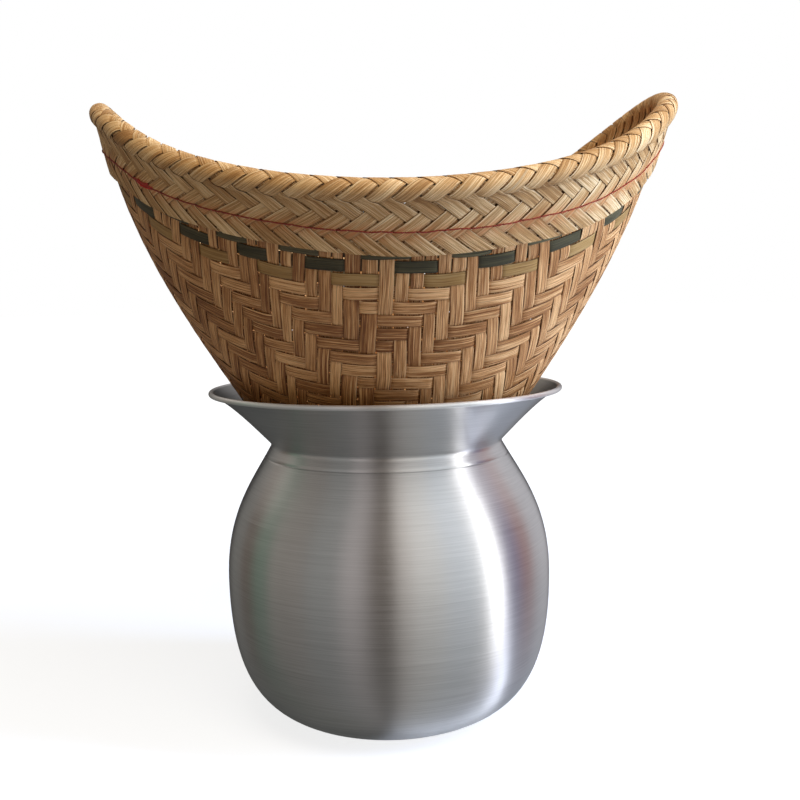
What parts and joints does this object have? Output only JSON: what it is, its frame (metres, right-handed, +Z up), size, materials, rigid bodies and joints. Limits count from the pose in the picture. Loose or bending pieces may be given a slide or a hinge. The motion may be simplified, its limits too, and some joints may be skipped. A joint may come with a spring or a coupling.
{
  "type": "sticky rice steamer",
  "caption": "Sticky rice steamer: a flared, round-bellied spun aluminium pot with a woven bamboo cone basket, saddle-rimmed, that stands in its mouth and lifts out.",
  "frame": {"origin": "middle of the pot's base, on the surface it stands on", "axes": "+Z up along the pot's axis and the way the basket lifts out; the basket's raised horns point along +X and -X, and its front is -Y"},
  "size_m": [0.3475, 0.3114, 0.385],
  "materials": {
    "spun_aluminium": "spun, with fine turning lines",
    "woven_bamboo": "split bamboo, woven in a three over, three under twill",
    "dyed_bamboo": "dyed dark green, satin",
    "olive_bamboo": "green bamboo skin, satin",
    "plaited_band": "pale bamboo strips, plaited in a herringbone",
    "hoop_bamboo": "split cane, plain",
    "red_thread": "twisted sewing thread"
  },
  "bodies": {
    "pot": {"pot": "spun_aluminium"},
    "basket": {"woven_wall": "woven_bamboo", "dark_strip_front_lower": "dyed_bamboo", "dark_strip_front_upper": "dyed_bamboo", "dark_strip_back_lower": "dyed_bamboo", "dark_strip_back_upper": "dyed_bamboo", "olive_strip_front": "olive_bamboo", "olive_strip_back": "olive_bamboo", "rim_hoop_outer": "hoop_bamboo", "rim_hoop_inner": "hoop_bamboo", "rim_band": "plaited_band", "stitch_thread_outer": "red_thread", "stitch_thread_inner": "red_thread", "thread_tack": "red_thread"}
  },
  "joints": [
    {"name": "basket_lift", "type": "slide", "parent": "pot", "child": "basket", "axis": [0, 0, 1], "range_m": [0, 0.2]}
  ]
}
